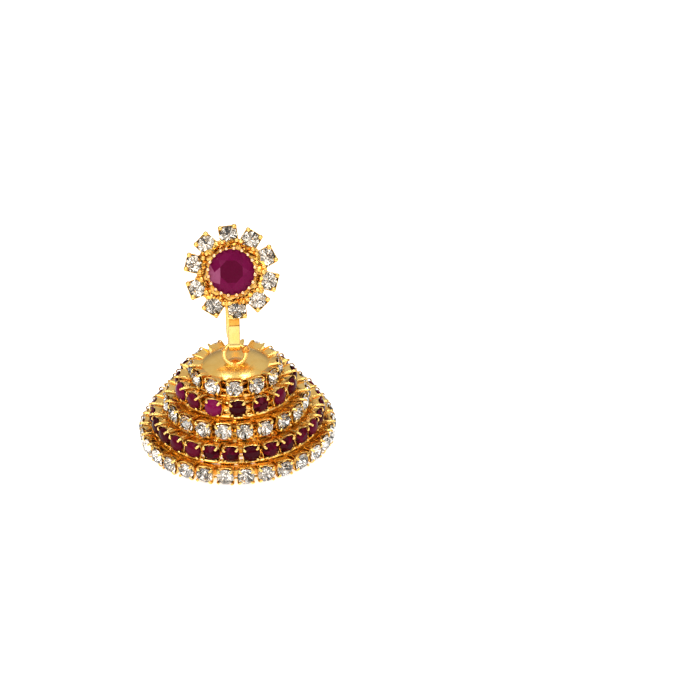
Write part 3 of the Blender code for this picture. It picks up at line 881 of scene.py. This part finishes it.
def build_ring_metal(tier, lower, paint, dice):
    """The band and links behind a ring's cups, the step down to the next ring and the
    wires under the faces."""
    metal = bmesh.new()
    back = tier.radius - CUP_DEPTH
    axis = Vector((HINGE.x, HINGE.y, 0))
    low, high = tier.height + BAND_LOW, tier.height + BAND_HIGH
    inner, outer = back - BAND_INSET, back + BAND_THICK
    level_band(metal, [(inner, low), (inner, high), (outer, high), (outer, low)], axis)
    if lower:
        build_step(metal, tier, lower, axis)
    for index in range(tier.count):
        turn = 2 * math.pi * (index + tier.phase + 0.5) / tier.count
        sideways = Vector((math.cos(turn), math.sin(turn), 0))
        for out, up in LINKS:
            middle = axis + outward_of(turn) * (back + out) + Vector((0, 0, tier.height + up))
            ends = [middle + sideways * side * LINK_HALF for side in LINK_ENDS]
            tube(metal, ends, LINK_RADII, 8, False)
    plain_faces = len(metal.faces)
    if tier.wire:
        add_wires(metal, tier, axis, dice)
    metal.faces.ensure_lookup_table()
    for face in metal.faces[plain_faces:]:
        face.material_index = 1
    finish = [paint["cups"], paint["pale"]]
    add_piece(tier.name + "_wires", metal, finish, "bell", [tier.name])


def wire_points(axis, radius, height, wave, dice):
    """Points round a level circle, a little uneven."""
    starts = [dice.uniform(0, 6.28) for _ in range(3)]
    points = []
    for turn in turns_of(ROUND_STEPS):
        swell = wave * (math.sin(2 * turn + starts[0]) + 0.6 * math.sin(5 * turn + starts[1]))
        rise = wave * math.sin(3 * turn + starts[2])
        points.append(axis + outward_of(turn) * (radius + swell) + Vector((0, 0, height + rise)))
    return points


def add_wires(metal, tier, axis, dice):
    """The wire under a ring's faces, and a second one behind it where the first is thick."""
    thick = tier.wire > THICK_WIRE
    tuck = WIRE_TUCK_THICK if thick else WIRE_TUCK_THIN
    height = tier.height - CUP_HALF - tier.wire / 2 + tuck
    first = wire_points(axis, tier.radius + WIRE_OUT, height, WIRE_WAVE, dice)
    tube(metal, first, tier.wire / 2, 10, True)
    if thick:
        out, height = tier.radius - SECOND_WIRE_IN, height - SECOND_WIRE_DOWN
        second = wire_points(axis, out, height, SECOND_WIRE_WAVE, dice)
        tube(metal, second, tier.wire * SECOND_WIRE_SHARE, 8, True)


def build_solder(paint, dice):
    """The solder lumps that close the wire under the second ring, at its front."""
    shape = bmesh.new()
    tier = TIERS[1]
    height = tier.height - CUP_HALF - SOLDER_BELOW
    for turn, size in SOLDER_LUMPS:
        centre = outward_of(turn) * (tier.radius + SOLDER_OUT)
        centre += Vector((HINGE.x, HINGE.y, height + dice.uniform(*SOLDER_UP_PLAY)))
        ball(shape, centre, size, squash=SOLDER_SQUASH)
    add_piece("wire_solder", shape, [paint["pale"]], "bell", ["tier_2_ruby"])


def cap_height(out):
    """The height of the cap's dome at a distance from its axis."""
    return CAP_TOP - CAP_RISE * (out / CAP_RADIUS) ** CAP_CURVE


def build_cap(paint):
    """The shallow dome on top of the bell, with its boss below."""
    seat = CAP_TOP - CAP_RISE - CAP_EDGE
    lip = seat - CAP_LIP
    foot = seat - CAP_BOSS_DEPTH
    profile = []
    for step in range(1, 14):
        out = CAP_RADIUS * step / 14
        profile.append((out, cap_height(out)))
    for step in range(7):
        angle = math.pi / 2 * step / 6
        out = CAP_RADIUS - CAP_EDGE * (1 - math.sin(angle))
        profile.append((out, seat + CAP_EDGE * math.cos(angle)))
    profile += [(CAP_RADIUS - CAP_LIP, lip), (CAP_BOSS, lip), (CAP_BOSS, foot)]
    profile.append((CAP_BOSS - CAP_BOSS_EDGE, foot - CAP_BOSS_EDGE))
    shape = bmesh.new()
    loft(shape, turned_rings(BELL_TURN, profile, 96))
    add_piece("bell_cap_dome", shape, [paint["polish"]], "bell", ["bell_cap"])


def build_eye(paint):
    """The eye that the hook passes through, leaning forward onto the cap, and its solder."""
    lean = BELL_TURN @ Matrix.Rotation(-EYE_LEAN, 4, "X")
    shape = bmesh.new()
    centres = []
    for turn in turns_of(64):
        place_in_eye = Vector((math.sin(turn), 0, math.cos(turn) - 1)) * EYE_RADIUS
        centres.append(lean @ place_in_eye)
    tube(shape, centres, EYE_WIRE / 2, 14, True)
    add_piece("bell_eye", shape, [paint["polish"]], "bell", ["bell_cap"])
    beads = bmesh.new()
    for bead in EYE_SOLDER:
        centre = Vector(bead.place)
        ball(beads, centre, bead.radius, bead.rings, bead.sides, bead.squash, BELL_TURN)
    add_piece("bell_eye_beads", beads, [paint["solder"]], "bell", ["bell_cap"])


# The stud: hook, petals, solder, plate and centre


def hook_stations():
    """Places along the strip from the plate round the turn to its free end, as heights up
    the stud and distances before its back: the back leg's, the turn's and the front leg's."""
    outer = HOOK_INNER + STRIP_THICKNESS / 2
    back_reach = HOOK_CENTRE.y - STRIP_TOP
    back = HOOK_CENTRE.z - outer
    back_leg = [(STRIP_TOP + back_reach * step / 40, back) for step in range(40)]
    turn = []
    for step in range(19):
        angle = math.pi * step / 18
        up = HOOK_CENTRE.y - outer * math.sin(angle)
        turn.append((up, HOOK_CENTRE.z - outer * math.cos(angle)))
    front = HOOK_CENTRE.z + outer
    front_leg = [(HOOK_CENTRE.y + HOOK_FRONT_LEG * step / 6, front) for step in range(1, 7)]
    return back_leg, turn, front_leg


def strip_section(widen, normal):
    """The strip's outline, with rounded edges. widen is 1 on the back leg and 0 past it.
    A point on the back face, a little in from the narrow strip's left edge, marks where the
    back leg's painted shade starts.
    """
    half_thick = STRIP_THICKNESS / 2
    left = -(STRIP_HALF + (STRIP_BACK_LEFT - STRIP_HALF) * widen)
    right = STRIP_HALF + (STRIP_BACK_RIGHT - STRIP_HALF) * widen
    section = []
    for side, edge in ((1, right), (-1, left)):
        for step in range(5):
            angle = math.pi * step / 4
            out = edge - side * STRIP_ROUNDING * (1 - math.sin(angle))
            section.append(Vector((out, 0, 0)) + normal * half_thick * math.cos(angle) * side)
        # A point where the back leg's painted shade begins
        if side > 0:
            section.append(Vector((SHADE_FROM_EDGE - STRIP_HALF, 0, 0)) - normal * half_thick)
    return section


def build_hook(paint):
    """The flat strip with rounded edges. Its back leg is wider than the turn and front leg.
    Above the front leg's free end the back leg is painted darker as shade, with a painted
    dark shadow line just behind that end; its wide left band keeps the plain strip gold.
    """
    back_leg, turn, front_leg = hook_stations()
    stations = back_leg + turn + front_leg
    rings = []
    for index, (up, front) in enumerate(stations):
        before = Vector(stations[max(index - 1, 0)])
        after = Vector(stations[min(index + 1, len(stations) - 1)])
        along = (after - before).normalized()
        normal = Vector((0, -along.y, along.x))
        centre = Vector((0, up, front))
        widen = min(max((len(back_leg) - index) / STRIP_NARROWS, 0), 1)
        section = strip_section(widen, normal)
        rings.append([STUD_TURN @ (centre + point) for point in section])
    shape = bmesh.new()
    loft(shape, rings)
    free_end = HOOK_CENTRE.y + HOOK_FRONT_LEG
    to_stud = STUD_TURN.inverted()
    # Paint shade on the back leg above the front leg's free end, all but its wide left band
    for face in shape.faces:
        middle = to_stud @ face.calc_center_median()
        behind = middle.z < HOOK_CENTRE.z
        if behind and middle.x > -STRIP_HALF and middle.y > free_end - SHADE_BELOW_END:
            # Just round the front leg's free end the shade is a painted dark shadow line
            face.material_index = 2 if middle.y < free_end + SHADOW_GAP_BAND else 1
    finish = [paint["strip"], paint["deep"], paint["shadow_gap_line"]]
    add_piece("drop_hook", shape, finish, "stud", ["stud_setting"])


def petal_matrix(petal):
    """A petal cup's matrix, from the middle of its rim."""
    turn = Matrix.Rotation(-math.radians(petal.angle), 4, "Z")
    twist = Matrix.Rotation(-math.radians(petal.twist), 4, "Z")
    return STUD_TURN @ turn @ Matrix.Translation((0, PETAL_CIRCLE, CUP_FRONT)) @ twist


def petal_prong(shape, matrix, diagonal, dice):
    """A straight prong with a round ball at its end, at a petal cup's corner."""
    outward = Vector((math.cos(diagonal), math.sin(diagonal), 0))
    centres = [matrix @ (outward * out + Vector((0, 0, above))) for out, above in PRONG_STEM]
    tube(shape, centres, PRONG_RADII, 10, False)
    above = PRONG_BALL_ABOVE + dice.uniform(-PRONG_BALL_PLAY, PRONG_BALL_PLAY)
    tip = outward * PRONG_BALL_OUT + Vector((0, 0, above))
    ball(shape, tip, PRONG_BALL * dice.uniform(*PRONG_BALL_SPREAD), 10, 16, matrix=matrix)


def build_petals(paint, dice):
    """The ten square cups round the flower with their stones."""
    cups = bmesh.new()
    stones = bmesh.new()
    for petal in PETALS:
        matrix = petal_matrix(petal)
        cup_skin(cups, matrix, PETAL_HALF, PETAL_BACK_HALF, PETAL_BACK_HALF)
        for quarter in range(4):
            petal_prong(cups, matrix, corner_turn(quarter), dice)
        brilliant(stones, stone_place(matrix, dice, PETAL_SEAT), PETAL_CUT, dice)
    add_piece("petal_cups", cups, [paint["cups"]], "stud", ["stud_setting"])
    replaced = [f"petal_stone_{number:02d}" for number in range(1, len(PETALS) + 1)]
    finish = [paint["clear"], paint["clear_foil"]]
    add_piece("petal_stones", stones, finish, "stud", replaced, True)


def build_plate(paint):
    """The round plate behind the flower."""
    trimmed = PLATE_RADIUS - PLATE_EDGE
    profile = [(trimmed, PLATE_BACK), (PLATE_RADIUS, PLATE_BACK + PLATE_EDGE)]
    profile += [(PLATE_RADIUS, PLATE_FRONT - PLATE_EDGE), (trimmed, PLATE_FRONT)]
    shape = bmesh.new()
    loft(shape, turned_rings(STUD_TURN, profile, 80))
    add_piece("stud_plate", shape, [paint["polish"]], "stud", ["stud_setting"])


def nugget(shape, angle, between, dice):
    """One chunk of solder on its foot. between is 1 halfway from petal to petal."""
    out = NUGGET_CIRCLE + dice.uniform(0.0, NUGGET_OUT_PLAY)
    out += between * dice.uniform(*NUGGET_FILLS_OUT)
    across, up = math.sin(angle) * out, math.cos(angle) * out
    centre = Vector((across, up, dice.uniform(*NUGGET_HEIGHTS)))
    turn = dice.uniform(0, NUGGET_SPIN)
    spin = Matrix.Rotation(turn, 4, Vector((dice.random(), dice.random(), dice.random() + 0.1)))
    bmesh.ops.create_icosphere(
        shape,
        subdivisions=1,
        radius=dice.uniform(*NUGGET_RADII),
        matrix=STUD_TURN @ Matrix.Translation(centre) @ spin @ Matrix.Diagonal(NUGGET_SHAPE),
    )
    foot = Vector((across, up, PLATE_FRONT - PLATE_SINK))
    tube(shape, [STUD_TURN @ foot, STUD_TURN @ centre], NUGGET_FOOT_RADII, 6, False)


def build_nuggets(paint, dice):
    """The chunky faceted solder that fills the ring between the petals and the centre stone."""
    nuggets = bmesh.new()
    angles = [petal.angle for petal in PETALS] + [PETALS[0].angle + 360]
    for first, second in zip(angles, angles[1:]):
        for index in range(NUGGETS):
            share = (index + 0.5) / NUGGETS
            angle = math.radians(first + (second - first) * share)
            angle += dice.uniform(-NUGGET_TURN_PLAY, NUGGET_TURN_PLAY)
            nugget(nuggets, angle, 1 - abs(2 * share - 1), dice)
    finish = [paint["nuggets"]]
    add_piece("flower_solder", nuggets, finish, "stud", ["stud_setting"], True)


def build_centre(paint, dice):
    """The big centre stone, its conical cup and the ring of beaded claws round it."""
    profile = [BEZEL_BASE] + [(out, BEZEL_RIM + up) for out, up in BEZEL_PROFILE]
    cup = bmesh.new()
    loft(cup, turned_rings(STUD_TURN, profile, 80))
    # The cup takes the darker gold, painted shade for the hollow under the beads round the stone
    add_piece("centre_cup", cup, [paint["deep"]], "stud", ["stud_setting"])
    claws = bmesh.new()
    girdle = Vector((0, 0, GIRDLE_FRONT))
    for index in range(BEADS):
        angle = 2 * math.pi * (index + 0.5) / BEADS
        angle += dice.uniform(-BEAD_TURN_PLAY, BEAD_TURN_PLAY)
        outward = Vector((math.cos(angle), math.sin(angle), 0))
        stem = [girdle + outward * out + Vector((0, 0, up)) for out, up in BEAD_STEM]
        tube(claws, [STUD_TURN @ point for point in stem], BEAD_STEM_RADII, 8, False)
        rise = Vector((0, 0, BEAD_RISE + dice.uniform(*BEAD_UP_PLAY)))
        radius = BEAD_RADIUS * dice.uniform(*BEAD_SPREAD)
        ball(claws, girdle + outward * BEAD_CIRCLE + rise, radius, 10, 14, matrix=STUD_TURN)
    add_piece("centre_claws", claws, [paint["beads"]], "stud", ["stud_setting"])
    stone = bmesh.new()
    twist = Matrix.Rotation(CENTRE_TWIST, 4, "Z")
    matrix = STUD_TURN @ Matrix.Translation(girdle) @ twist
    brilliant(stone, matrix, CENTRE_CUT, dice)
    shade_centre(stone, matrix, dice)
    finish = [paint["centre"], paint["centre_foil"]]
    add_piece("centre_stone", stone, finish, "stud", ["centre_ruby"], True)


def shade_centre(stone, matrix, dice):
    """Paints light and shade on the centre stone's facets: a deep table as painted shade,
    lighter slopes, and one facet palest as a painted reflection.
    """
    facet = tone_and_glint_layer(stone)
    to_stone = matrix.inverted()
    for face in stone.faces:
        middle = to_stone @ face.calc_center_median()
        out = math.hypot(middle.x, middle.y)
        if face.material_index == 0:
            face[facet] = TABLE_SHADE if out < TABLE_MIDDLE else dice.uniform(*SLOPE_SHADES)
            # The outer facets between two turns are painted palest, a painted reflection of a softbox
            pale = PALE_FROM < math.atan2(middle.y, middle.x) < PALE_TO
            if pale and out > PALE_OUT:
                face[facet] = REFLECTION_SHADE


def paint_post(paint):
    """The CAD's plain post and pad, given the polished gold."""
    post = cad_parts["ear_post"]
    post.data.materials.clear()
    post.data.materials.append(paint["polish"])


# The stage


def add_softbox(box):
    """A softbox that faces the earring."""
    data = bpy.data.lights.new(box.name, "AREA")
    data.shape = "RECTANGLE"
    data.size = box.size[0] * MM
    data.size_y = box.size[1] * MM
    data.energy = box.radiance * math.pi * data.size * data.size_y
    data.color = box.color
    light = bpy.data.objects.new(box.name, data)
    rise = math.radians(box.rise)
    away = outward_of(math.radians(box.turn)) * math.cos(rise) + Vector((0, 0, math.sin(rise)))
    light.location = (LIGHT_TARGET + away * LIGHT_DISTANCE) * MM
    light.rotation_euler = away.to_track_quat("Z", "Y").to_euler()
    bpy.context.scene.collection.objects.link(light)


def build_light():
    """The softboxes and the studio's own light."""
    for box in LIGHTS:
        add_softbox(box)
    world = bpy.data.worlds.new("studio")
    world.use_nodes = True
    nodes = world.node_tree.nodes
    direction = nodes.new("ShaderNodeTexCoord")
    split = nodes.new("ShaderNodeSeparateXYZ")
    link(direction.outputs["Generated"], split.inputs["Vector"])
    sky = nodes["Background"]
    link(ramp(nodes, split.outputs["Z"], WORLD_SHADES), sky.inputs["Color"])
    sky.inputs["Strength"].default_value = WORLD_STRENGTH
    bpy.context.scene.world = world


def build_floor():
    """A plain white floor, lit a little from within so that it stays white under soft light."""
    shape = bmesh.new()
    bmesh.ops.create_grid(shape, x_segments=2, y_segments=2, size=FLOOR_HALF_SIZE * MM)
    mesh = bpy.data.meshes.new("floor")
    shape.to_mesh(mesh)
    shape.free()
    material, nodes, shader = new_material("floor_white")
    whites = ramp(nodes, noise(nodes, FLOOR_GRAIN, 2), FLOOR_SHADES)
    link(whites, shader.inputs["Base Color"])
    shader.inputs["Roughness"].default_value = 0.7
    shader.inputs["Emission Color"].default_value = (1.0, 1.0, 1.0, 1.0)
    shader.inputs["Emission Strength"].default_value = FLOOR_GLOW
    mesh.materials.append(material)
    floor = bpy.data.objects.new("floor", mesh)
    floor.location = (0, 0, FLOOR * MM)
    bpy.context.scene.collection.objects.link(floor)
    floor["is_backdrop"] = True


def build_camera():
    """The camera at the photograph's place, with the earring left of the middle as there."""
    turn = Matrix.Rotation(-CAMERA_TURN, 4, "Z")
    target = turn @ -HINGE_IN_VIEW + HINGE
    away = turn @ Vector((0, -math.cos(CAMERA_RISE), math.sin(CAMERA_RISE)))
    data = bpy.data.cameras.new("camera")
    data.sensor_width = SENSOR
    data.lens = SENSOR * PIXELS_PER_MM * CAMERA_DISTANCE / PICTURE
    data.clip_start = 0.01
    camera = bpy.data.objects.new("camera", data)
    camera.location = (target + away * CAMERA_DISTANCE) * MM
    camera.rotation_euler = away.to_track_quat("Z", "Y").to_euler()
    bpy.context.scene.collection.objects.link(camera)
    bpy.context.scene.camera = camera


def write_sizes():
    boxes = {"cad": cad_box, "visual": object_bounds()}
    plain = {name: [[round(value, 6) for value in corner] for corner in box] for name, box in boxes.items()}


def main():
    dice = random.Random(SEED)
    paint = make_materials()
    for tier, lower in zip(TIERS, (*TIERS[1:], None)):
        build_tier(tier, lower, paint, dice)
    build_solder(paint, dice)
    build_cap(paint)
    build_eye(paint)
    build_hook(paint)
    build_plate(paint)
    build_nuggets(paint, dice)
    build_petals(paint, dice)
    build_centre(paint, dice)
    paint_post(paint)
    build_floor()
    build_light()
    build_camera()
    bpy.context.scene.view_settings.view_transform = "Standard"
    write_sizes()


main()
